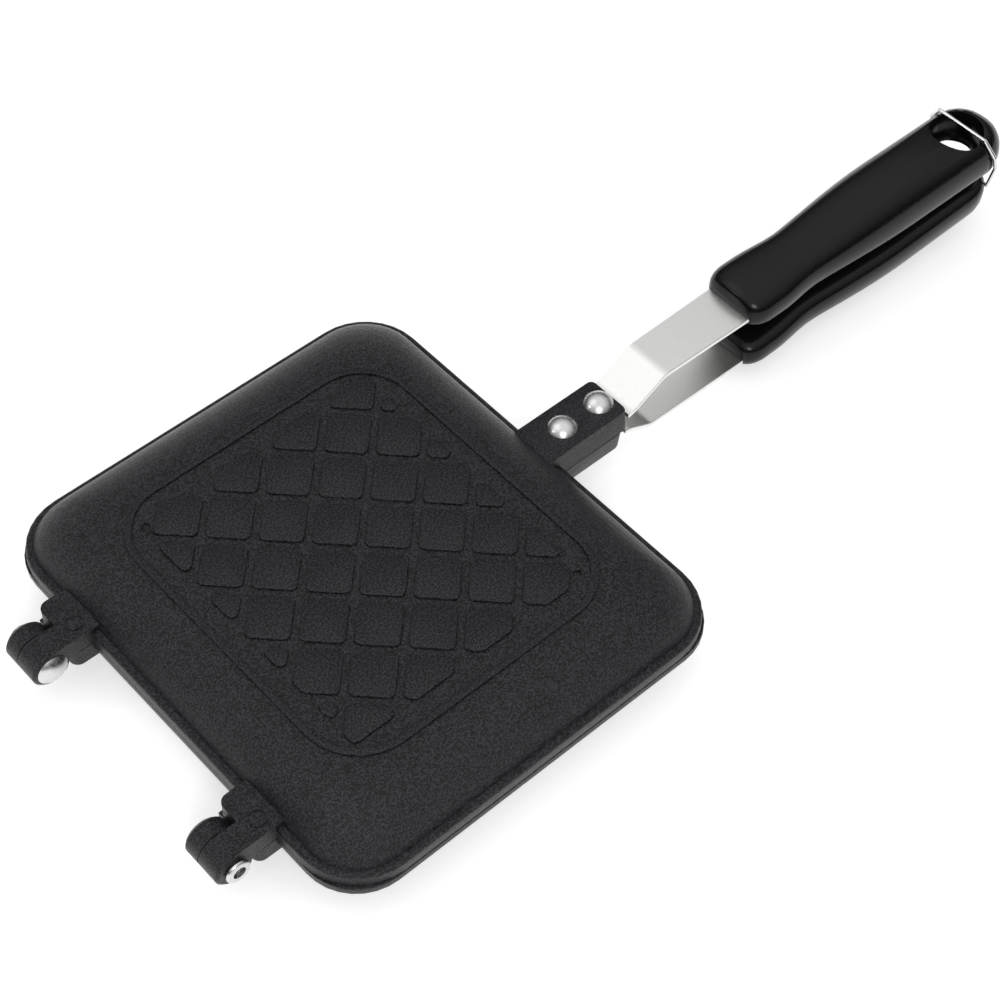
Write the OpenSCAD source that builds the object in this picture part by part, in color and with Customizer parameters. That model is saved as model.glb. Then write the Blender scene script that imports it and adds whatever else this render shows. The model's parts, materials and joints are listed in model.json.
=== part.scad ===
// Hinged pie iron: two toasting pans closed face to face, with riveted straps and moulded grips.
// +X runs from the hinges to the grips, +Y across the pan, +Z up.
// The origin is the centre of the pans on the plane where they meet.

/* [Pan] */
// half of the pan's length, hinge side to handle side
pan_hx = 66.4; // [64:0.1:69]
// half of the pan's width
pan_hy = 75; // [72:0.1:78]
// corner radius of the upper rim, seen from above
rim_r_upper = 18.5; // [17:0.5:20]
// corner radius of the lower rim, seen from above
rim_r_lower = 16.5; // [15:0.5:18]
// thickness of the upper rim, measured from the meeting plane
rim_t_upper = 4.2; // [3.6:0.1:4.6]
// thickness of the lower rim, measured from the meeting plane
rim_t_lower = 3.2; // [2.8:0.1:4.6]
// rounding of the rim's outer edge
rim_edge = 1; // [0.4:0.1:1.4]
// flat and rounded edge of the rim outside the shoulder
flange_w = 2.2; // [1.8:0.1:3]
// height of the raised band and tiles above the meeting plane
pan_h = 15.4; // [14:0.1:17]
// wall thickness of the pan
wall = 2.6; // [2:0.1:3]
// half of the open gap between the two rims
part_gap = 0.15; // [0.1:0.01:0.2]
// corner radius of the shoulder where it leaves the flange
shoulder_r = 15.9; // [14:0.1:17]
// wall angle left at the foot of the shoulder
shoulder_a0 = 12; // [5:1:20]

/* [Pressed pattern] */
// half of the band's length, to its outer edge
band_hx = 47.6; // [46:0.1:49]
// half of the band's width, to its outer edge
band_hy = 53.6; // [52:0.1:55]
// corner radius of the band, outer edge
band_r = 18; // [16:0.5:20]
// width of the raised band
band_w = 2.3; // [1.8:0.1:3]
// height of band and tiles above the panel
relief = 0.7; // [0.4:0.05:0.9]
// pitch of the tiles along a row
tile_pu = 14.28; // [13:0.01:15]
// pitch of the tile rows
tile_pv = 15.85; // [14:0.01:17]
// channel between the tiles
tile_gap = 2.1; // [1.6:0.1:2.6]
// corner radius of the tiles
tile_r = 1.8; // [1:0.1:2.2]
// half of the tile field's length
field_hx = 40.2; // [38:0.1:42]
// half of the tile field's width
field_hy = 46.2; // [44:0.1:48]
// diameter of the two witness dimples
dimple_d = 2.4; // [1.8:0.1:3.6]
// distance of the dimples from the middle, along the pan
dimple_x = 38.5; // [37:0.5:40]
// distance of the dimples from the middle, across the pan
dimple_y = 43.7; // [42:0.1:45]

/* [Hinge] */
// distance of each hinge from the middle
hinge_y = 39.2; // [36:0.2:42]
// distance of the hinge pins from the pan centre
hinge_x = 79.4; // [78.5:0.1:81]
// radius of the knuckles
knuckle_r = 5.9; // [5.5:0.1:6.5]
// full width of a hinge
hinge_w = 15.6; // [14:0.1:17]
// set back of the lower knuckles from the side of their block
lower_inset = 1.9; // [0:0.1:2.5]
// gap beside each knuckle
hinge_side_gap = 0.3; // [0.2:0.05:0.5]
// space between a knuckle and the lug facing it
hinge_nose_gap = 0.6; // [0.5:0.1:1]
// corner radius of a lug beside the notch for the other knuckle
nose_r = 2.8; // [1:0.1:3.5]
// chamfer at the open end of a lower knuckle
knuckle_chamfer = 0.8; // [0.3:0.1:1]
// distance of the ring marks from the pan centre
ring_x = 68.5; // [67.5:0.1:69]
// distance of each ring mark from the middle of its hinge
ring_off = 3.2; // [2.8:0.1:3.6]
// radius of the ring mark on the upper lugs
ring_r = 2.6; // [2:0.1:3]
// width of the ring mark
ring_w = 0.5; // [0.4:0.05:0.7]
// depth of the ring mark
ring_depth = 0.3; // [0.2:0.05:0.5]
// radius of the hinge pins
pin_r = 2.6; // [2.2:0.1:3]
// running clearance between a pin and its bore
pin_fit = 0.05; // [0.03:0.01:0.08]
// radius of the domed pin head
pin_head_r = 4.7; // [4.2:0.1:5.2]
// height of the domed pin head
pin_head_h = 2; // [1.5:0.1:2.5]
// radius of the rolled pin end
pin_roll_r = 3.7; // [3.4:0.1:4]

/* [Tang] */
// end of the upper tang
tang_x_upper = 92.6; // [92:0.1:94]
// end of the lower tang
tang_x_lower = 92; // [91.4:0.1:94]
// half of the tang's width at the top
tang_hw = 7.5; // [7.2:0.1:8]
// draft of the tang's sides
tang_draft = 0.4; // [0.2:0.1:0.8]
// height of the upper tang above the meeting plane
tang_h_upper = 8.2; // [7.6:0.1:8.6]
// height of the lower tang below the meeting plane
tang_h_lower = 6.6; // [6:0.1:8.6]
// corner radius at the end of the upper tang
tang_r_upper = 1.8; // [1:0.1:3]
// corner radius at the end of the lower tang
tang_r_lower = 3.5; // [1:0.1:4]

/* [Strap] */
// thickness of the strap
strap_t = 1.4; // [1.2:0.1:1.6]
// half width of the strap's tail inside the tang
tail_hw = 5.3; // [5:0.1:5.6]
// half width of the strap outside the tang
strap_hw = 7.5; // [7:0.1:7.8]
// half width of the strap where it meets the grip
strap_hw_end = 8.1; // [7.6:0.1:8.4]
// gap between the end of a tang and the shoulders of its strap
shoulder_gap = 0.3; // [0.15:0.05:1.5]
// outer face of the upper strap's tail above the meeting plane
tail_z_upper = 5.2; // [4.8:0.1:5.6]
// outer face of the lower strap's tail below the meeting plane
tail_z_lower = 2.8; // [2.6:0.1:3.2]
// outer face of the upper strap beside the grip
upper_z = 12.4; // [11.8:0.1:13]
// outer face of the lower strap beside the grip
lower_z = 7.4; // [7:0.1:7.8]
// end of the rising part of the upper strap
rise_x_upper = 108.5; // [106:0.5:111]
// end of the falling part of the lower strap
rise_x_lower = 104; // [102:0.5:108]
// hidden end of the strap inside the grip
strap_x2 = 190; // [180:1:200]
// half width of the strap inside the grip
shank_hw = 5.5; // [5:0.1:6]

/* [Strap rivets] */
// inner rivet, distance from the pan centre
rivet_x1 = 73.8; // [73:0.1:75]
// outer rivet, distance from the pan centre
rivet_x2 = 87.8; // [87:0.1:88]
// shank radius
rivet_r = 2.1; // [1.8:0.1:2.3]
// dome radius seen from above
rivet_head_r = 4.4; // [4:0.05:4.6]
// dome height
rivet_head_h = 2.3; // [1.8:0.1:2.6]
// radius of the formed end under the strap
rivet_tail_r = 3.2; // [2.8:0.1:3.6]
// height of the formed end under the strap
rivet_tail_h = 0.9; // [0.7:0.05:1]
// gap round the rivet shank
rivet_fit = 0.03; // [0.02:0.01:0.05]

/* [Grip] */
// front face of both grips
grip_x = 140.3; // [139:0.1:142]
// length of the upper grip
grip_len_upper = 114.7; // [113:0.1:118]
// length of the lower grip
grip_len_lower = 111.7; // [110:0.1:114]
// half width at the front bulge
grip_a1 = 11.4; // [11:0.1:11.8]
// half width at the waist
grip_a2 = 9.4; // [9.2:0.1:10]
// half width at the rear
grip_a3 = 12.4; // [12.2:0.1:12.8]
// outer half of the thickness at the front bulge
grip_b1 = 6.8; // [6.6:0.1:7.4]
// outer half of the thickness at the waist
grip_b2 = 6; // [5.8:0.1:6.6]
// outer half of the thickness at the rear
grip_b3 = 10.5; // [9.5:0.1:10.7]
// inner half of the thickness, facing the other grip
grip_in = 5.5; // [5:0.1:5.6]
// length of the rounded rear end
grip_tip = 12.5; // [12:0.1:14]
// middle of the upper grip above the meeting plane
grip_z_upper = 12.4; // [12.2:0.1:12.8]
// middle of the lower grip below the meeting plane, at its front
grip_z_lower = 5; // [4.8:0.1:5.4]
// slant of the lower grip towards the upper one
grip_tilt = 2; // [1.6:0.1:2.1]
// clearance of the moulding round the strap
mould_gap = 0.03; // [0.02:0.01:0.05]
// middle of the hanging hole, measured from the rear end of the upper grip
hole_back = 15.7; // [15.4:0.1:16.5]
// half width of the hanging hole
hole_r = 6; // [4:0.1:6.4]
// distance between the two arcs of the hanging hole
hole_slot = 2; // [1:0.1:3]
// radius of the dishes round the hanging hole
dish_r = 8.2; // [8:0.1:8.6]
// floor of the outer dish, measured from the middle of the grip
dish_floor = 0.2; // [0:0.1:1]
// thickness of the web between the outer and the inner dish
web_t = 1.8; // [1.4:0.1:2.2]

/* [Bail] */
// radius of the bail wire
wire_r = 0.6; // [0.5:0.05:0.65]
// pivot of the bail, measured from the rear end of the lower grip
bail_back = 2.4; // [2.2:0.1:2.6]
// pivot of the bail below the meeting plane
bail_z = 2; // [1.8:0.1:2.2]
// top bar of the bail, measured from the rear end of the upper grip
bar_back = 13.5; // [13.2:0.1:14]
// top bar of the bail above the meeting plane
bar_z = 22.1; // [22:0.05:22.4]
// half of the straight top bar
bar_hw = 9.2; // [9:0.1:9.4]
// half width between the bail's legs
leg_hw = 13; // [12.9:0.1:13.4]
// half width between the bail's feet
foot_hw = 8.9; // [8.7:0.1:9.2]
// inner end of the bail's pivot ends
pivot_in = 4.5; // [4:0.1:5.5]
// gap round the bail's pivot ends
bail_fit = 0.06; // [0.03:0.01:0.08]

/* [Hidden] */
$fn = 64;
slice = 0.01;
hull_fn = 32;
shoulder_n = 9;
rim_n = 4;
panel_z = pan_h - relief;
body_hx = pan_hx - flange_w;
body_hy = pan_hy - flange_w;
knuckle_gap_x = hinge_x - knuckle_r - hinge_nose_gap;
bore_r = pin_r + pin_fit;
tail_x1 = rivet_x1 - 6;
tang_root_x = 56;
lug_root_x = 58;
channel_hw = tail_hw + 0.3;
bend_r = wire_r * 1.06;
grip_n = 34;
grip_m = 36;
outer_n = 2.4;
inner_n = 3;
hole_x = grip_x + grip_len_upper - hole_back;
bail_x = grip_x + grip_len_lower - bail_back;
bar_x = grip_x + grip_len_upper - bar_back;
steel = [0.80, 0.80, 0.80];
coating = [0.10, 0.10, 0.11];
bakelite = [0.05, 0.05, 0.055];
alloy = [0.86, 0.86, 0.87];

// a rectangle with true round corners
module round_rect(hx, hy, r) {
  square([2 * hx, 2 * (hy - r)], center = true);
  square([2 * (hx - r), 2 * hy], center = true);
  for (sx = [-1, 1], sy = [-1, 1])
    translate([sx * (hx - r), sy * (hy - r)])
      circle(r = r);
}

// one thin level of a shoulder, made of its four corners
module level(hx, hy, r, z) {
  for (sx = [-1, 1], sy = [-1, 1])
    translate([sx * (hx - r), sy * (hy - r), z])
      cylinder(r = r, h = slice, $fn = hull_fn);
}

// a dome from a foot outline to a top outline along part of an ellipse
module dome(foot, top, z0, z1) {
  c0 = cos(shoulder_a0);
  s0 = sin(shoulder_a0);
  hull()
    for (i = [0 : shoulder_n]) {
      a = shoulder_a0 + (90 - shoulder_a0) * i / shoulder_n;
      inward = (c0 - cos(a)) / c0;
      up = (sin(a) - s0) / (1 - s0);
      level(foot[0] + (top[0] - foot[0]) * inward, foot[1] + (top[1] - foot[1]) * inward,
        foot[2] + (top[2] - foot[2]) * inward, z0 + (z1 - z0) * up - slice);
    }
}

// the field of tiles, turned 45 degrees and cut to a rectangle, with soft corners
module tile_field() {
  linear_extrude(pan_h - panel_z + 0.2)
    offset(r = tile_r, $fn = 24)
      offset(delta = -tile_r)
        intersection() {
          square([2 * field_hx, 2 * field_hy], center = true);
          rotate(-45)
            for (r = [1 : 8], c = [0 : 7])
              if (abs(c - 3.5) + abs(r - 4.5) < 5 || r == 4 || r == 5)
                translate([(c - 3.5) * tile_pu, (4.5 - r) * tile_pv])
                  square([tile_pu - tile_gap, tile_pv - tile_gap], center = true);
        }
}

// raised band and tiles on the outside of a pan
module relief_pattern() {
  translate([0, 0, panel_z - 0.1])
    linear_extrude(relief + 0.1)
      difference() {
        round_rect(band_hx, band_hy, band_r);
        round_rect(band_hx - band_w, band_hy - band_w, band_r - band_w);
      }
  translate([0, 0, panel_z - 0.2])
    tile_field();
}

// the part of a hinge cast on one pan, seen with that pan on top
module lug(y0, inset) {
  side_y = y0 - hinge_w / 2;
  arm_w = (hinge_w - hinge_side_gap) / 2 - inset;
  block_x = knuckle_gap_x - lug_root_x;
  translate([-knuckle_gap_x, side_y, part_gap])
    linear_extrude(knuckle_r - part_gap) {
      square([block_x, hinge_w - nose_r]);
      translate([nose_r, 0])
        square([block_x - nose_r, hinge_w]);
      translate([nose_r, hinge_w - nose_r])
        circle(r = nose_r);
    }
  translate([-hinge_x, side_y + inset, part_gap])
    cube([hinge_x - lug_root_x, arm_w, knuckle_r - part_gap]);
  translate([-hinge_x, side_y + inset + arm_w, 0])
    rotate([90, 0, 0]) {
      cylinder(r = knuckle_r, h = arm_w - knuckle_chamfer);
      translate([0, 0, arm_w - knuckle_chamfer])
        cylinder(r1 = knuckle_r, r2 = knuckle_r - knuckle_chamfer, h = knuckle_chamfer);
    }
}

// shallow ring mark left by the mould on top of a lug
module ring_mark(y0) {
  translate([-ring_x, y0 - ring_off, knuckle_r - ring_depth])
    difference() {
      cylinder(r = ring_r, h = ring_depth + 1);
      translate([0, 0, -1])
        cylinder(r = ring_r - ring_w, h = ring_depth + 3);
    }
}

// cast tang that takes the strap in a channel on its inner side
module tang(end_x, end_r, h) {
  hull() {
    translate([tang_root_x, -tang_hw - tang_draft, part_gap])
      cube([1, 2 * (tang_hw + tang_draft), slice]);
    for (s = [-1, 1])
      translate([end_x - end_r, s * (tang_hw + tang_draft - end_r), part_gap])
        cylinder(r = end_r, h = slice, $fn = hull_fn);
    translate([tang_root_x, -tang_hw, h - slice])
      cube([1, 2 * tang_hw, slice]);
    for (s = [-1, 1])
      translate([end_x - tang_draft - end_r, s * (tang_hw - end_r), h - slice])
        cylinder(r = end_r, h = slice, $fn = hull_fn);
  }
}

// rim of a pan, with a rounded outer edge on its outside
module rim(rim_r, rim_t) {
  hull() {
    level(pan_hx, pan_hy, rim_r, part_gap);
    for (i = [0 : rim_n]) {
      a = 90 * i / rim_n;
      cut = rim_edge * (1 - cos(a));
      level(pan_hx - cut, pan_hy - cut, rim_r - cut, rim_t - rim_edge * (1 - sin(a)) - slice);
    }
  }
}

// one pan casting with its outside up
module pan(rim_r, rim_t, inset, end_x, end_r, tang_h, tail_z) {
  difference() {
    union() {
      rim(rim_r, rim_t);
      dome([body_hx, body_hy, shoulder_r], [band_hx, band_hy, band_r], rim_t - slice, panel_z);
      relief_pattern();
      lug(hinge_y, inset);
      lug(-hinge_y, inset);
      tang(end_x, end_r, tang_h);
    }
    dome([body_hx - wall, body_hy - wall, shoulder_r - wall],
      [band_hx - wall / 2, band_hy - wall / 2, band_r - wall], part_gap - 0.1, panel_z - wall);
    translate([tail_x1 - 0.5, -channel_hw, -1])
      cube([end_x - tail_x1 + 2, 2 * channel_hw, tail_z + mould_gap + 1]);
    for (x = [rivet_x1, rivet_x2])
      translate([x, 0, -1])
        cylinder(r = rivet_r + rivet_fit, h = tang_h + 2);
    translate([-hinge_x, 0, 0])
      rotate([90, 0, 0])
        cylinder(r = bore_r, h = 2 * pan_hy, center = true);
    for (s = [-1, 1])
      translate([s * dimple_x, -s * dimple_y, panel_z - relief])
        cylinder(d = dimple_d, h = relief + 0.2);
  }
}

module upper_pan() {
  color(coating)
    difference() {
      pan(rim_r_upper, rim_t_upper, 0, tang_x_upper, tang_r_upper, tang_h_upper, tail_z_upper);
      ring_mark(hinge_y);
      ring_mark(-hinge_y);
    }
}

module lower_pan() {
  color(coating)
    rotate([180, 0, 0])
      pan(rim_r_lower, rim_t_lower, lower_inset, tang_x_lower, tang_r_lower, tang_h_lower,
        tail_z_lower);
}

// share of the strap's rise reached at u, a ramp with soft ends
function ramp(u, b = 0.22) =
  (u < b ? u * u / (2 * b) : u < 1 - b ? u - b / 2 : 1 - b - (1 - u) * (1 - u) / (2 * b)) / (1 - b);

// strap with its outer face up, rising from the tang to the grip
module strap(end_x, tail_z, rise_x, z_end) {
  n = 24;
  x0 = end_x + shoulder_gap;
  top = [for (i = [0 : n]) [x0 + (rise_x - x0) * i / n, tail_z + (z_end - tail_z) * ramp(i / n)]];
  low = [for (i = [n : -1 : 0]) [top[i][0], top[i][1] - strap_t]];
  side = concat([[tail_x1, tail_z - strap_t], [tail_x1, tail_z]], top,
    [[strap_x2, z_end], [strap_x2, z_end - strap_t]], low);
  plan = [[tail_x1, -tail_hw], [x0, -tail_hw], [x0, -strap_hw], [rise_x, -strap_hw - 0.1],
    [grip_x + 0.5, -strap_hw_end], [grip_x + 0.5, -shank_hw], [strap_x2, -shank_hw],
    [strap_x2, shank_hw], [grip_x + 0.5, shank_hw], [grip_x + 0.5, strap_hw_end],
    [rise_x, strap_hw + 0.1], [x0, strap_hw], [x0, tail_hw], [tail_x1, tail_hw]];
  difference() {
    intersection() {
      translate([0, 20, 0])
        rotate([90, 0, 0])
          linear_extrude(40)
            polygon(side);
      linear_extrude(30)
        polygon(plan);
    }
    for (x = [rivet_x1, rivet_x2])
      translate([x, 0, 0])
        cylinder(r = rivet_r + rivet_fit, h = 10);
  }
}

module upper_strap() {
  color(steel) strap(tang_x_upper, tail_z_upper, rise_x_upper, upper_z);
}

module lower_strap() {
  color(steel) rotate([180, 0, 0]) strap(tang_x_lower, tail_z_lower, rise_x_lower, lower_z);
}

// rivet with its dome up, through the tang and the strap's tail
module rivet(x, tang_h, tail_z) {
  seat = tang_h + 0.02;
  ball = (rivet_head_r * rivet_head_r + rivet_head_h * rivet_head_h) / (2 * rivet_head_h);
  under = tail_z - strap_t - mould_gap;
  translate([x, 0, 0]) {
    translate([0, 0, under - rivet_tail_h])
      cylinder(r = rivet_tail_r, h = rivet_tail_h);
    translate([0, 0, under - rivet_tail_h])
      cylinder(r = rivet_r, h = seat + 0.5 - under + rivet_tail_h);
    intersection() {
      translate([0, 0, seat + rivet_head_h - ball])
        sphere(r = ball);
      translate([0, 0, seat])
        cylinder(r = rivet_head_r, h = rivet_head_h + 1);
    }
  }
}

module upper_rivet(x) {
  color(alloy) rivet(x, tang_h_upper, tail_z_upper);
}

module lower_rivet(x) {
  color(alloy) rotate([180, 0, 0]) rivet(x, tang_h_lower, tail_z_lower);
}

module upper_rivet_inner() {
  upper_rivet(rivet_x1);
}

module upper_rivet_outer() {
  upper_rivet(rivet_x2);
}

module lower_rivet_inner() {
  lower_rivet(rivet_x1);
}

module lower_rivet_outer() {
  lower_rivet(rivet_x2);
}

// pin along +Y with a domed head at its start and a rolled tube at its end
module hinge_pin() {
  half = hinge_w / 2 + 0.1;
  ball = (pin_head_r * pin_head_r + pin_head_h * pin_head_h) / (2 * pin_head_h);
  rotate([-90, 0, 0])
    rotate_extrude()
      difference() {
        union() {
          translate([0, -half - 0.5])
            square([pin_r, 2 * half + 2]);
          translate([0, half])
            square([pin_roll_r - 0.5, 1.5]);
          translate([pin_roll_r - 0.75, half + 0.75])
            circle(r = 0.75, $fn = 24);
          intersection() {
            translate([0, -half - pin_head_h + ball])
              circle(r = ball, $fn = 96);
            translate([0, -half - pin_head_h - 1])
              square([pin_head_r, pin_head_h + 1]);
          }
        }
        translate([0, half - 2])
          square([pin_r - 0.7, 5]);
        translate([-2 * ball, -2 * ball])
          square([2 * ball, 4 * ball]);
      }
}

module hinge_pin_far() {
  color(alloy) translate([-hinge_x, hinge_y, 0]) hinge_pin();
}

module hinge_pin_near() {
  color(alloy) translate([-hinge_x, -hinge_y, 0]) rotate([0, 0, 180]) hinge_pin();
}

// smooth step from 0 to 1
function ease(t) = (1 - cos(180 * max(0, min(1, t)))) / 2;

// size along the grip through a front bulge, a waist and a rear swell
function swell(x, s1, s2, s3) =
  s1 + (s2 - s1) * ease((x - 11) / 19) + (s3 - s2) * ease((x - 8) / 61);

// share of the full section left near the two ends of a grip
function front_round(x, r) = x > r ? 1 : sqrt(1 - pow((r - x) / r, 2));
function rear_round(x, len, r) = x < len - r ? 1 : sqrt(max(0, 1 - pow((x - len + r) / r, 2)));

// distance along the grip of station i, closer together at the ends
function station(i, len) = len * (1 - cos(180 * i / grip_n)) / 2;

// moulded grip lying along +X from its front face: fuller on its outer side, flatter inside
module grip_body(len) {
  front = 7;
  rings = [for (i = [0 : grip_n])
    let(
      x = station(i, len),
      f = 0.62 + 0.38 * front_round(x, front),
      e = max(0.12, rear_round(x, len, grip_tip)),
      a = swell(x, grip_a1, grip_a2, grip_a3) * f * e,
      thin = f * max(0.3, pow(e, 0.8)),
      b = swell(x, grip_b1, grip_b2, grip_b3) * thin
    )
    [for (j = [0 : grip_m - 1])
      let(t = 360 * j / grip_m, c = cos(t), s = sin(t), k = s > 0 ? 2 / outer_n : 2 / inner_n)
      [x, a * sign(c) * pow(abs(c), k), (s > 0 ? b : grip_in * thin) * sign(s) * pow(abs(s), k)]]];
  points = [for (ring = rings) for (p = ring) p];
  sides = [for (i = [0 : grip_n - 1]) for (j = [0 : grip_m - 1])
    let(k = (j + 1) % grip_m)
    each [[i * grip_m + j, i * grip_m + k, (i + 1) * grip_m + k],
      [i * grip_m + j, (i + 1) * grip_m + k, (i + 1) * grip_m + j]]];
  first = [for (j = [grip_m - 1 : -1 : 0]) j];
  last = [for (j = [0 : grip_m - 1]) grip_n * grip_m + j];
  polyhedron(points = points, faces = concat([first], sides, [last]), convexity = 4);
}

// long hole with round ends
module slot(r, length, h) {
  for (s = [-1, 1])
    translate([s * length / 2, 0, 0])
      cylinder(r = r, h = h);
  translate([-length / 2, -r, 0])
    cube([length, 2 * r, h]);
}

// a grip with its outer side up; mid is the height of its middle
module grip(len, mid, tilt, z_end) {
  floor_z = mid - sin(tilt) * (hole_x - grip_x) - dish_floor;
  difference() {
    translate([grip_x, 0, mid])
      rotate([0, tilt, 0])
        grip_body(len);
    translate([grip_x - 1, -shank_hw - mould_gap, z_end - strap_t - mould_gap])
      cube([strap_x2 - grip_x + 1 + mould_gap, 2 * (shank_hw + mould_gap), strap_t + 2 * mould_gap]);
    translate([grip_x - 1, -strap_hw_end - mould_gap, z_end - strap_t - mould_gap])
      cube([1.5 + mould_gap, 2 * (strap_hw_end + mould_gap), strap_t + 2 * mould_gap]);
    translate([hole_x, 0, mid - 20])
      slot(hole_r, hole_slot, 40);
    translate([hole_x, 0, floor_z])
      cylinder(r = dish_r, h = 20);
    translate([hole_x, 0, floor_z - web_t - 20])
      cylinder(r = dish_r, h = 20);
  }
}

module upper_grip() {
  color(bakelite) grip(grip_len_upper, grip_z_upper, 0, upper_z);
}

module lower_grip() {
  color(bakelite)
    difference() {
      rotate([180, 0, 0])
        grip(grip_len_lower, grip_z_lower, grip_tilt, lower_z);
      translate([bail_x, 0, -bail_z])
        rotate([90, 0, 0])
          cylinder(r = wire_r + bail_fit, h = 2 * leg_hw, center = true);
    }
}

// straight piece of wire between two points
module wire(p, q) {
  d = q - p;
  len = norm(d);
  translate(p)
    rotate([0, acos(d[2] / len), atan2(d[1], d[0])])
      cylinder(r = wire_r, h = len);
}

// bail point: y across, s along the leg from the pivot to the bar
function bail_point(y, s) =
  [bail_x + (bar_x - bail_x) * s, y, -bail_z + (bar_z + bail_z) * s];

// wire bail: two pivot ends, two legs and the bar over the upper grip
module bail() {
  path = [bail_point(pivot_in, 0), bail_point(foot_hw, 0), bail_point(leg_hw, 0.55),
    bail_point(leg_hw, 0.76), bail_point(bar_hw, 1)];
  color(steel) {
    for (s = [-1, 1]) {
      for (i = [0 : 3])
        wire([path[i][0], s * path[i][1], path[i][2]], [path[i + 1][0], s * path[i + 1][1], path[i + 1][2]]);
      for (i = [1 : 4])
        translate([path[i][0], s * path[i][1], path[i][2]])
          sphere(r = bend_r);
    }
    wire([bar_x, -bar_hw, bar_z], [bar_x, bar_hw, bar_z]);
  }
}

lower_pan();
upper_pan();
lower_strap();
upper_strap();
lower_grip();
upper_grip();
lower_rivet_inner();
lower_rivet_outer();
upper_rivet_inner();
upper_rivet_outer();
hinge_pin_near();
hinge_pin_far();
bail();
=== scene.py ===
# %% [markdown]
# # A hinged pie iron
# Two shallow pans of die-cast aluminium close face to face. Each has a cast tang with a riveted
# steel strap, and each strap ends in a moulded black grip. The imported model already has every
# piece in its place, in metres. This lesson gives each one the edges and the finish of the real
# thing, lights it softly and looks at it from above.

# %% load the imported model
import json
from math import radians

import bmesh
import bpy
from mathutils import Matrix, Vector


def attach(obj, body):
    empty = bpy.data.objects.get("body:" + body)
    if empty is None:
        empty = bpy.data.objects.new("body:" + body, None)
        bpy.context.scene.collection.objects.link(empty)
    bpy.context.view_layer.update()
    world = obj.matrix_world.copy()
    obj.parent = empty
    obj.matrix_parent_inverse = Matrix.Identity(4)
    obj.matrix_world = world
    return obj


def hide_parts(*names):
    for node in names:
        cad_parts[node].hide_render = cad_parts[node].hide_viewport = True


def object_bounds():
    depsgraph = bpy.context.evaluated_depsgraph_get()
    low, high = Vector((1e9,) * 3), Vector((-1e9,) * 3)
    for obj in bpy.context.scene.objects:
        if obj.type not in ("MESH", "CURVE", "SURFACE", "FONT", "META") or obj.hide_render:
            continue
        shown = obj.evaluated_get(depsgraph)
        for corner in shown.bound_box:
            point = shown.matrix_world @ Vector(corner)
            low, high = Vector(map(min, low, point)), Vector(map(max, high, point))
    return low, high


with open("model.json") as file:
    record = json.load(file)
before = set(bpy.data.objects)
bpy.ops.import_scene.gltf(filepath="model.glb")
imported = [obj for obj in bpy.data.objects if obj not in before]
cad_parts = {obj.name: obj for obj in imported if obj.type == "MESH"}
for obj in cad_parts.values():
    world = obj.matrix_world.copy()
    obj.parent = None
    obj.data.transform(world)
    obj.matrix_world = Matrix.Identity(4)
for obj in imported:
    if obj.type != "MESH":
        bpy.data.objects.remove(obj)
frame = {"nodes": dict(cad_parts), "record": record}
NODES = frame["nodes"]


def as_lists(box):
    return [list(map(float, corner)) for corner in box]


cad_box = as_lists(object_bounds())
MM = 0.001
print("pieces loaded:", len(NODES), "box in metres:", cad_box)

# %% [markdown]
# Colours are easiest to compare with a picture as sRGB hex values, but the renderer adds light in
# linear values, so one function converts them. A second one adds a shader node with its settings
# and its links in one line, which keeps each finish short enough to read as a recipe. A pattern is
# sized by the real width of its marks in millimetres. Noise seldom leaves the middle of its range,
# so that middle is what gets spread over the colours and the roughness of a finish.

# %% colour and node helpers
NOISE_LOW = 0.3
NOISE_HIGH = 0.7
# A Mix node has sockets for numbers, vectors and colours side by side. These are the colour ones.
FIRST_COLOUR = 6
SECOND_COLOUR = 7
MIXED_COLOUR = 2


def paint(code):
    # the standard sRGB curve: a straight line near black and a power above it
    channels = [int(code[i : i + 2], 16) / 255 for i in (1, 3, 5)]
    linear = [c / 12.92 if c <= 0.04045 else ((c + 0.055) / 1.055) ** 2.4 for c in channels]
    return (*linear, 1.0)


def add(tree, kind, links=None, values=None, **settings):
    made = tree.nodes.new(kind)
    for name, value in settings.items():
        setattr(made, name, value)
    for socket, value in (values or {}).items():
        made.inputs[socket].default_value = value
    for socket, source in (links or {}).items():
        tree.links.new(source, made.inputs[socket])
    return made


def new_finish(name):
    finish = bpy.data.materials.new(name)
    finish.use_nodes = True
    finish.node_tree.nodes.clear()
    place = add(finish.node_tree, "ShaderNodeTexCoord").outputs["Object"]
    return finish, finish.node_tree, place


def close_finish(tree, colour, rough, bump, values):
    links = {
        "Base Color": colour.outputs[MIXED_COLOUR],
        "Roughness": rough.outputs["Result"],
        "Normal": bump.outputs["Normal"],
    }
    shader = add(tree, "ShaderNodeBsdfPrincipled", links, values)
    add(tree, "ShaderNodeOutputMaterial", {"Surface": shader.outputs[0]})


def per_metre(mark_mm):
    return 1 / (mark_mm * MM)


def paints(low, high):
    return {FIRST_COLOUR: paint(low), SECOND_COLOUR: paint(high)}


def spread(low, high, from_low=NOISE_LOW, from_high=NOISE_HIGH):
    return {"From Min": from_low, "From Max": from_high, "To Min": low, "To Max": high}


# %% [markdown]
# The pans have a baked non-stick coating, sprayed on grit-blasted aluminium. It is almost black
# and matt, with a sandy grain of about half a millimetre that sparkles in soft light. Noise of
# that real size drives the specks of colour. Their dark tone is the grain's own, and their lighter
# end is painted sparkle that stands in for glints off the grain. Together with a finer noise, the
# same grain drives the bump.
# Broad patches, where the spray lay thicker, change the roughness a little.

# %% baked non-stick coating
GRAIN_MM = 0.55
FINE_GRAINS_ACROSS = 3.1
PATCH_MM = 28.57
# the part of the grain noise that goes from the coating's own near-black to the lightest specks, which
# are painted sparkle
SPECK_AND_GLINT_STARTS = 0.43
SPECK_AND_GLINT_FULL = 0.61
GRIT_DEPTH_MM = 0.16


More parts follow.
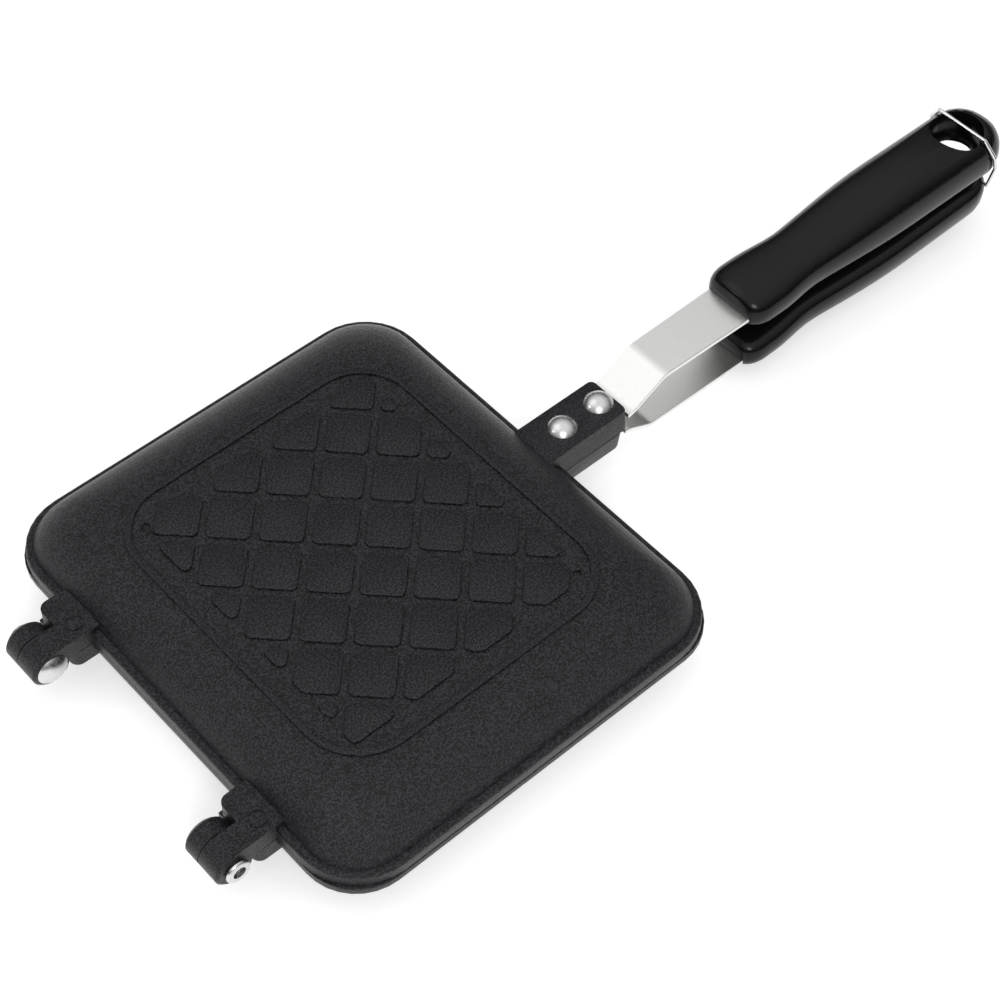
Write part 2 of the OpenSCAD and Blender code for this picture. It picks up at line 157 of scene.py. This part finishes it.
def baked_coating():
    finish, tree, place = new_finish("baked_nonstick_coating")
    at = {"Vector": place}
    grains = per_metre(GRAIN_MM)
    grain = add(tree, "ShaderNodeTexNoise", at, {"Scale": grains, "Detail": 3}).outputs["Fac"]
    fine = add(tree, "ShaderNodeTexNoise", at, {"Scale": FINE_GRAINS_ACROSS * grains, "Detail": 2})
    patch = add(tree, "ShaderNodeTexNoise", at, {"Scale": per_metre(PATCH_MM), "Detail": 2})
    speck_and_glint = add(tree, "ShaderNodeMapRange", {"Value": grain}, spread(0, 1, SPECK_AND_GLINT_STARTS, SPECK_AND_GLINT_FULL))
    # dark end: the coating's own tone; light end: painted sparkle of the grain
    dark_to_light = paints("#040405", "#323237")
    colour = add(tree, "ShaderNodeMix", {0: speck_and_glint.outputs["Result"]}, dark_to_light, data_type="RGBA")
    rough = add(tree, "ShaderNodeMapRange", {"Value": patch.outputs["Fac"]}, spread(0.29, 0.36))
    sand = add(tree, "ShaderNodeMath", {0: grain, 1: fine.outputs["Fac"]}, operation="ADD")
    depth = {"Strength": 1.0, "Distance": GRIT_DEPTH_MM * MM}
    bump = add(tree, "ShaderNodeBump", {"Height": sand.outputs[0]}, depth)
    close_finish(tree, colour, rough, bump, {"IOR": 1.5, "Specular IOR Level": 0.3})
    return finish


coating = baked_coating()
print("finish:", coating.name, "grain in mm:", GRAIN_MM)

# %% [markdown]
# The grips are moulded phenolic, the hard black plastic of pan handles. It comes out of a polished
# mould, so it is glossy, and shallow sink marks a centimetre or two long bend its highlights. A
# faint haze of handling, with marks of about a millimetre, keeps the gloss from looking like glass.

# %% glossy moulded phenolic
SINK_MARK_MM = 16.67
SINK_DEPTH_MM = 0.3
HAZE_MM = 1.111


def moulded_phenolic():
    finish, tree, place = new_finish("moulded_black_phenolic")
    at = {"Vector": place}
    sink = add(tree, "ShaderNodeTexNoise", at, {"Scale": per_metre(SINK_MARK_MM), "Detail": 1})
    haze = add(tree, "ShaderNodeTexNoise", at, {"Scale": per_metre(HAZE_MM), "Detail": 4}).outputs["Fac"]
    dark_to_light = paints("#0a0a0b", "#131314")
    colour = add(tree, "ShaderNodeMix", {0: haze}, dark_to_light, data_type="RGBA")
    rough = add(tree, "ShaderNodeMapRange", {"Value": haze}, spread(0.16, 0.26))
    depth = {"Strength": 0.25, "Distance": SINK_DEPTH_MM * MM}
    bump = add(tree, "ShaderNodeBump", {"Height": sink.outputs["Fac"]}, depth)
    close_finish(tree, colour, rough, bump, {"IOR": 1.55, "Specular IOR Level": 0.2})
    return finish


phenolic = moulded_phenolic()
print("finish:", phenolic.name, "sink marks in mm:", SINK_MARK_MM)

# %% [markdown]
# Three bare metals share one recipe. The straps are cut from cold-rolled stainless strip. Rolling
# leaves a fine grain that is longer along the strip, so its noise is stretched about three times
# along X. The rivets and the hinge pins are headed from soft aluminium, which dulls evenly, and the
# bail is drawn wire, which the die leaves the smoothest. The real marks are finer than a picture
# can show, so they are drawn coarser, at 0.4 to 0.8 mm.

# %% rolled strip, headed rivets and drawn wire
BUMP_STRENGTH = 0.4


def bare_metal(name, colours, rough_range, mark_mm, stretch=(1, 1, 1), depth_mm=0.004):
    finish, tree, place = new_finish(name)
    turned = add(tree, "ShaderNodeMapping", {"Vector": place}, {"Scale": stretch})
    at = {"Vector": turned.outputs["Vector"]}
    mark = add(tree, "ShaderNodeTexNoise", at, {"Scale": per_metre(mark_mm), "Detail": 4}).outputs["Fac"]
    colour = add(tree, "ShaderNodeMix", {0: mark}, paints(*colours), data_type="RGBA")
    rough = add(tree, "ShaderNodeMapRange", {"Value": mark}, spread(*rough_range))
    depth = {"Strength": BUMP_STRENGTH, "Distance": depth_mm * MM}
    bump = add(tree, "ShaderNodeBump", {"Height": mark}, depth)
    close_finish(tree, colour, rough, bump, {"Metallic": 1.0})
    return finish


strip = bare_metal(
    "rolled_stainless_strip",
    colours=("#dcdcda", "#f0f0ee"),
    rough_range=(0.3, 0.42),
    mark_mm=0.5,
    stretch=(0.3, 1, 1),
    depth_mm=0.01,
)
rivet_metal = bare_metal(
    "headed_aluminium",
    colours=("#c4c4c4", "#e2e2e2"),
    rough_range=(0.22, 0.34),
    mark_mm=0.8,
    depth_mm=0.01,
)
drawn_wire = bare_metal(
    "drawn_stainless_wire",
    colours=("#cfcfcf", "#e8e8e8"),
    rough_range=(0.12, 0.2),
    mark_mm=0.4,
)
print("finishes:", strip.name, rivet_metal.name, drawn_wire.name)

# %% [markdown]
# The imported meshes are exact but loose: every triangle stands alone and every edge is a knife
# edge. So the pieces that need work are copied, and each copy is welded into one skin that the
# edit tools can follow. When it is done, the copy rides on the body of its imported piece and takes
# that piece's place.

# %% welded copies
BODIES = frame["record"]["behaviour"]["bodies"]
BODY_OF = {node: body for body, nodes in BODIES.items() for node in nodes}
WELD_MM = 0.001


def edit(piece):
    bpy.ops.object.select_all(action="DESELECT")
    bpy.context.view_layer.objects.active = piece
    piece.select_set(True)
    bpy.ops.object.mode_set(mode="EDIT")
    bpy.ops.mesh.select_mode(type="EDGE")
    bpy.ops.mesh.select_all(action="SELECT")


def welded(node):
    piece = bpy.data.objects.new(node + "_finished", NODES[node].data.copy())
    bpy.context.scene.collection.objects.link(piece)
    edit(piece)
    bpy.ops.mesh.customdata_custom_splitnormals_clear()
    bpy.ops.mesh.remove_doubles(threshold=WELD_MM * MM)
    bpy.ops.object.mode_set(mode="OBJECT")
    return piece


def close_edit(piece, node, smooth_deg):
    bpy.ops.mesh.select_all(action="SELECT")
    bpy.ops.mesh.normals_make_consistent(inside=False)
    bpy.ops.object.mode_set(mode="OBJECT")
    bpy.ops.object.shade_smooth_by_angle(angle=radians(smooth_deg))
    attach(piece, BODY_OF[node])
    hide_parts(node)


print("bodies:", list(BODIES))

# %% [markdown]
# Daylight shows through the hanging hole of the upper grip. Its underside flares like a cone, so
# that the slanting view meets no wall, and the near side of the dish on top reaches a little
# further out. Each of the two is a round body taken away by a boolean. The one for the dish starts
# half a millimetre above the dish floor, because two faces in one plane would leave a skin over the
# hole.

# %% hanging hole of the upper grip
HOLE_X_MM = 239.3
ROUND_SIDES = 96
DISH_FLOOR_MM = 12.2
DISH_RADIUS_MM = 8.2
DISH_SHIFT_X_MM = -1.0
DISH_SHIFT_Y_MM = -0.2
DISH_STEP_MM = 0.5
DISH_CUTTER_MM = 16
FLARE_TOP_MM = 11.4
FLARE_HEIGHT_MM = 7.4
FLARE_BOTTOM_RADIUS_MM = 14.3
FLARE_TOP_RADIUS_MM = 6.2


def carve(piece, cutter):
    bite = piece.modifiers.new("bite", "BOOLEAN")
    bite.operation = "DIFFERENCE"
    bite.solver = "EXACT"
    bite.object = cutter
    bpy.context.view_layer.objects.active = piece
    bpy.ops.object.modifier_apply(modifier=bite.name)
    bpy.data.objects.remove(cutter)


def near_side_of_dish():
    middle = DISH_FLOOR_MM + DISH_STEP_MM + DISH_CUTTER_MM / 2
    bpy.ops.mesh.primitive_cylinder_add(
        vertices=ROUND_SIDES,
        radius=DISH_RADIUS_MM * MM,
        depth=DISH_CUTTER_MM * MM,
        location=((HOLE_X_MM + DISH_SHIFT_X_MM) * MM, DISH_SHIFT_Y_MM * MM, middle * MM),
    )
    return bpy.context.active_object


def flare_under_hole():
    middle = FLARE_TOP_MM - FLARE_HEIGHT_MM / 2
    bpy.ops.mesh.primitive_cone_add(
        vertices=ROUND_SIDES,
        radius1=FLARE_BOTTOM_RADIUS_MM * MM,
        radius2=FLARE_TOP_RADIUS_MM * MM,
        depth=FLARE_HEIGHT_MM * MM,
        location=(HOLE_X_MM * MM, 0, middle * MM),
    )
    return bpy.context.active_object


print("hanging hole at x in mm:", HOLE_X_MM)

# %% [markdown]
# Castings and mouldings leave the mould with small radii, and a sheared strip has its edges
# broken. On each big piece the flat areas are joined first, and then its sharp outward edges get a
# real radius in geometry, which catches a thin line of light. The small hinge lugs at the back
# keep their packed edges, because the marks cast into them are finer than the radius.

# %% rounded edges
FLAT_DEG = 0.4
LUG_X_MM = 62


def outward(edge, least):
    if len(edge.link_faces) != 2 or edge.calc_face_angle(0) < least:
        return False
    first, second = edge.link_faces
    return first.normal.dot(second.calc_center_median() - first.calc_center_median()) < 0


def off_the_lugs(edge):
    return edge.verts[0].co.x > -LUG_X_MM * MM


def rounded(node, radius_mm, steps, least_deg, smooth_deg):
    piece = welded(node)
    if node == "upper_grip":
        carve(piece, near_side_of_dish())
        carve(piece, flare_under_hole())
    edit(piece)
    bpy.ops.mesh.dissolve_limited(angle_limit=radians(FLAT_DEG))
    bpy.ops.mesh.select_all(action="DESELECT")
    body = bmesh.from_edit_mesh(piece.data)
    chosen = [e for e in body.edges if outward(e, radians(least_deg)) and off_the_lugs(e)]
    for e in chosen:
        e.select_set(True)
    bmesh.update_edit_mesh(piece.data)
    if chosen:
        bpy.ops.mesh.bevel(offset=radius_mm * MM, segments=steps, clamp_overlap=False)
    close_edit(piece, node, smooth_deg)
    print(node, "rounded edges:", len(chosen), "faces:", len(piece.data.polygons))
    return piece


# %% [markdown]
# The hinge pins are headed against the lower knuckles, which stand back from the sides of their
# blocks. So the far end of each pin, everything beyond 5 mm past its middle, moves in by that
# setback, and the shank between the two heads becomes that much shorter.

# %% hinge pins
KNUCKLE_SETBACK_MM = 1.9
PIN_END_STARTS_MM = 5
PIN_SMOOTH_DEG = 35


def headed_pin(node):
    piece = welded(node)
    across = [v.co.y for v in piece.data.vertices]
    middle = (min(across) + max(across)) / 2
    edit(piece)
    bpy.ops.mesh.select_all(action="DESELECT")
    body = bmesh.from_edit_mesh(piece.data)
    for v in body.verts:
        v.select_set(v.co.y > middle + PIN_END_STARTS_MM * MM)
    body.select_flush_mode()
    bmesh.update_edit_mesh(piece.data)
    bpy.ops.transform.translate(value=(0, -KNUCKLE_SETBACK_MM * MM, 0))
    close_edit(piece, node, PIN_SMOOTH_DEG)
    print(node, "shortened by mm:", KNUCKLE_SETBACK_MM)
    return piece


# %% [markdown]
# A node's name says what kind of piece it is, as in upper_pan or hinge_pin_near, and the kind says
# how its edges are worked. The dome rivets and the round wire have no sharp outward edges that
# show, so they stay as they were packed.

# %% finish every piece
ROUNDING = {
    "pan": {"radius_mm": 0.3, "steps": 2, "least_deg": 40, "smooth_deg": 30},
    "grip": {"radius_mm": 0.35, "steps": 2, "least_deg": 55, "smooth_deg": 35},
    "strap": {"radius_mm": 0.15, "steps": 1, "least_deg": 50, "smooth_deg": 25},
}
FINISHED = {}
for name in NODES:
    kind = name.split("_")[1] if "_" in name else name
    if kind in ROUNDING:
        FINISHED[name] = rounded(name, **ROUNDING[kind])
    elif kind == "pin":
        FINISHED[name] = headed_pin(name)
print("finished copies:", len(FINISHED), "left as packed:", len(NODES) - len(FINISHED))

# %% [markdown]
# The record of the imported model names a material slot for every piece. Each slot gets its finish,
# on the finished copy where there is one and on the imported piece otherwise.

# %% finishes on the pieces
FINISH_OF = {
    "coating": coating,
    "grip": phenolic,
    "strap": strip,
    "rivet": rivet_metal,
    "wire": drawn_wire,
}
for part in frame["record"]["subparts"]:
    piece = FINISHED.get(part["node"], NODES[part["node"]])
    piece.data.materials.clear()
    piece.data.materials.append(FINISH_OF[part["material_slot"]])
    print(piece.name, "is finished as", part["material_slot"])

# %% [markdown]
# The floor is a plain pale sheet of paper. The camera sees it as white, because it glows a little
# for the camera and in reflections, but not on the pie iron, and it keeps the soft shadow.

# %% floor
FLOOR_SIDE_M = 6
FLOOR_GLOW = 0.5
bpy.ops.object.select_all(action="DESELECT")
bpy.ops.mesh.primitive_plane_add(size=FLOOR_SIDE_M, location=(0, 0, cad_box[0][2]))
floor = bpy.context.active_object
floor.name = "floor"


def pale_paper():
    finish, tree, _ = new_finish("pale_floor")
    ray = add(tree, "ShaderNodeLightPath").outputs
    passed_on = add(tree, "ShaderNodeMath", {0: ray["Is Glossy Ray"], 1: ray["Is Transmission Ray"]})
    both = {0: ray["Is Camera Ray"], 1: passed_on.outputs[0]}
    seen = add(tree, "ShaderNodeMath", both, use_clamp=True).outputs[0]
    paper = add(tree, "ShaderNodeBsdfDiffuse", None, {"Color": paint("#e6e6e6")}).outputs[0]
    white = {"Color": paint("#ffffff"), "Strength": FLOOR_GLOW}
    glow = add(tree, "ShaderNodeEmission", None, white)
    glowing = add(tree, "ShaderNodeAddShader", {0: paper, 1: glow.outputs[0]}).outputs[0]
    mix = add(tree, "ShaderNodeMixShader", {0: seen, 1: paper, 2: glowing})
    add(tree, "ShaderNodeOutputMaterial", {"Surface": mix.outputs[0]})
    return finish


floor.data.materials.append(pale_paper())
print("floor at height in metres:", cad_box[0][2])

# %% [markdown]
# Black pieces show their shape mostly by what they mirror. So the studio has a soft ceiling,
# bright overhead and dim towards the horizon: the flat tiles light up, and the steep shoulders of
# the pans stay darker. The world behind the floor has the same dim tone in a low view.

# %% soft ceiling
DIM_LEVEL = 0.05
FULL_LEVEL = 1.0
DIM_BELOW = 0.25
FULL_ABOVE = 0.88
studio = bpy.data.worlds.new("studio")
bpy.context.scene.world = studio
studio.use_nodes = True
studio.node_tree.nodes.clear()


def soft_ceiling(tree):
    way = add(tree, "ShaderNodeTexCoord").outputs["Generated"]
    height = add(tree, "ShaderNodeSeparateXYZ", {"Vector": way}).outputs["Z"]
    levels = spread(DIM_LEVEL, FULL_LEVEL, DIM_BELOW, FULL_ABOVE)
    level = add(tree, "ShaderNodeMapRange", {"Value": height}, levels).outputs["Result"]
    sky = add(tree, "ShaderNodeBackground", {"Strength": level}, {"Color": paint("#ffffff")})
    add(tree, "ShaderNodeOutputWorld", {"Surface": sky.outputs[0]})


soft_ceiling(studio.node_tree)
print("ceiling level from", DIM_LEVEL, "to", FULL_LEVEL)

# %% [markdown]
# Three softboxes add direction, with places in metres. The big key hangs high on the left, beyond
# the pans, and lights their tops and the straps. The fill stands behind the camera and opens the
# near sides. A small third one, lower on the left, aims at the straps and the grips and adds
# narrow glints.

# %% softboxes
SOFTBOXES = {
    "key_softbox": {"place": (-0.36, 0.54, 1.0), "aim": (0, 0, 0), "side": 0.8, "watts": 1.1},
    "fill_softbox": {"place": (-0.4, -0.7, 0.75), "aim": (0, 0, 0), "side": 0.35, "watts": 3.4},
    "sparkle_softbox": {"place": (-0.80, 0.48, 0.62), "aim": (0.14, 0, 0.02), "side": 0.12, "watts": 0.5},
}


def softbox(name, place, aim, side, watts):
    light = bpy.data.lights.new(name, "AREA")
    light.shape = "SQUARE"
    light.size = side
    light.energy = watts
    lamp = bpy.data.objects.new(name, light)
    bpy.context.scene.collection.objects.link(lamp)
    lamp.location = place
    lamp.rotation_euler = (Vector(aim) - Vector(place)).to_track_quat("-Z", "Y").to_euler()
    print(name, "side in metres:", side, "watts:", watts)


for name, settings in SOFTBOXES.items():
    softbox(name, **settings)

# %% [markdown]
# The camera was solved from the straight edges of the pan and from its square tile field. Its place
# is in metres, and its right, down and forward directions are unit vectors. Blender's camera looks
# along its own minus Z with Y up, so down and forward are turned round.

# %% camera
PLACE = Vector((-0.22017, -0.28741, 0.49890))
RIGHT = Vector((0.74529, -0.666424, 0.02052))
DOWN = Vector((-0.515862, -0.595862, -0.615496))
FORWARD = Vector((0.422409, 0.448138, -0.787873))
LENS_MM = 81.369
SENSOR_MM = 36
NEAR_CLIP_M = 0.01
lens = bpy.data.cameras.new("photo_camera")
lens.sensor_fit = "HORIZONTAL"
lens.sensor_width = SENSOR_MM
lens.lens = LENS_MM
lens.clip_start = NEAR_CLIP_M
camera = bpy.data.objects.new("photo_camera", lens)
bpy.context.scene.collection.objects.link(camera)
axes = Matrix((RIGHT, -DOWN, -FORWARD)).transposed()
camera.matrix_world = Matrix.Translation(PLACE) @ axes.to_4x4()
bpy.context.scene.camera = camera
bpy.context.scene.view_settings.view_transform = "Standard"
print("camera lens in mm:", LENS_MM)
